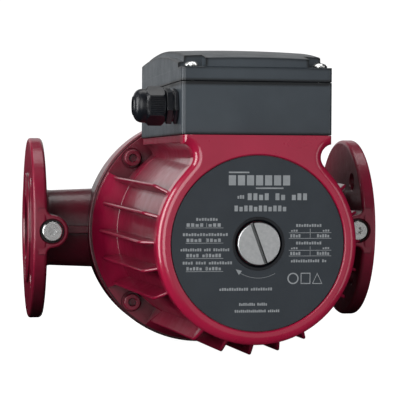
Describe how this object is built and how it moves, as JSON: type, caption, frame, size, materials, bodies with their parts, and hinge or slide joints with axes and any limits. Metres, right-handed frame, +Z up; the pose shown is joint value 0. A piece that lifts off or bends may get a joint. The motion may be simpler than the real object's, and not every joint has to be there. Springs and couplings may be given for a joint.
{
  "type": "circulator pump",
  "caption": "Flanged in-line wet-rotor circulator pump with finned motor, terminal box, cable gland and vent plug.",
  "frame": {"origin": "where the pipe axis crosses the motor axis, midway between the flange faces", "axes": "+X along the pipe from the inlet flange to the outlet flange, -Y out of the motor's nameplate end, +Z up to the terminal box"},
  "size_m": [0.28, 0.3414, 0.2287],
  "materials": {
    "red_cast_iron": "gloss wine-red paint on cast iron",
    "red_cast": "gloss wine-red paint on cast aluminium",
    "red_paint": "gloss crimson paint on cast aluminium",
    "red_paint_screws": "gloss wine-red paint on steel screws",
    "plate_plastic": "satin",
    "slate_plastic": "satin",
    "black_plastic": "satin",
    "white_plastic": "satin",
    "rubber": "matt",
    "zinc_steel": "bright zinc plating",
    "steel": "machined",
    "lamination_steel": "stacked sheets",
    "copper": "enamelled copper wire",
    "aluminium": "cast",
    "carbon": "polished carbon"
  },
  "bodies": {
    "pump": {"bearing_plate": "steel", "box_gasket": "rubber", "box_screw_1": "zinc_steel", "box_screw_2": "zinc_steel", "can_gasket": "rubber", "capacitor": "white_plastic", "capacitor_clip": "steel", "cover_gasket": "rubber", "earth_screw": "zinc_steel", "front_cover": "red_paint", "gauge_plug_left": "zinc_steel", "gauge_plug_right": "zinc_steel", "gauge_seal_left": "rubber", "gauge_seal_right": "rubber", "gland_body": "black_plastic", "gland_locknut": "black_plastic", "housing_gasket": "rubber", "motor_housing": "red_cast", "motor_leads": "black_plastic", "motor_screw_1": "red_paint_screws", "motor_screw_2": "red_paint_screws", "motor_screw_3": "red_paint_screws", "motor_screw_4": "red_paint_screws", "nameplate": "plate_plastic", "neck_ring": "steel", "pump_housing": "red_cast_iron", "pump_side_bearing": "carbon", "rotor_can": "steel", "stator_core": "lamination_steel", "stator_winding": "copper", "terminal_block": "white_plastic", "terminal_box_base": "slate_plastic", "vent_bearing_holder": "steel", "vent_side_bearing": "carbon"},
    "rotor": {"shaft": "steel", "impeller": "steel", "impeller_nut": "steel", "thrust_ring": "carbon", "rotor_core": "lamination_steel", "rotor_sleeve": "steel", "end_ring_pump_side": "aluminium", "end_ring_vent_side": "aluminium", "shaft_circlip": "steel"},
    "box_cover": {"terminal_cover": "slate_plastic", "cover_screw_1": "zinc_steel", "cover_screw_2": "zinc_steel", "cover_screw_3": "zinc_steel", "cover_screw_4": "zinc_steel"},
    "vent_seal": {"vent_o_ring": "rubber"},
    "vent_screw": {"vent_plug": "zinc_steel"},
    "cable_seal": {"gland_seal": "rubber"},
    "cable_nut": {"gland_nut": "black_plastic"}
  },
  "joints": [
    {"name": "rotor_spin", "type": "hinge", "parent": "pump", "child": "rotor", "pos_m": [0, 0, 0], "axis": [0, -1, 0], "continuous": true},
    {"name": "cover_lift", "type": "slide", "parent": "pump", "child": "box_cover", "axis": [0, 0, 1], "range_m": [0, 0.08]},
    {"name": "vent_travel", "type": "slide", "parent": "pump", "child": "vent_seal", "axis": [0, -1, 0], "range_m": [0, 0.009]},
    {"name": "vent_turn", "type": "hinge", "parent": "vent_seal", "child": "vent_screw", "pos_m": [0, 0, 0], "axis": [0, -1, 0], "range_deg": [0, 2165]},
    {"name": "gland_travel", "type": "slide", "parent": "pump", "child": "cable_seal", "axis": [-1, 0, 0], "range_m": [0, 0.012]},
    {"name": "gland_turn", "type": "hinge", "parent": "cable_seal", "child": "cable_nut", "pos_m": [0, -0.2385, 0.0927], "axis": [-1, 0, 0], "range_deg": [0, 2885]}
  ],
  "couplings": [
    {"joint": "vent_turn", "follows": "vent_travel", "rad_per_m": 4188.8},
    {"joint": "gland_turn", "follows": "gland_travel", "rad_per_m": 4188.8}
  ]
}
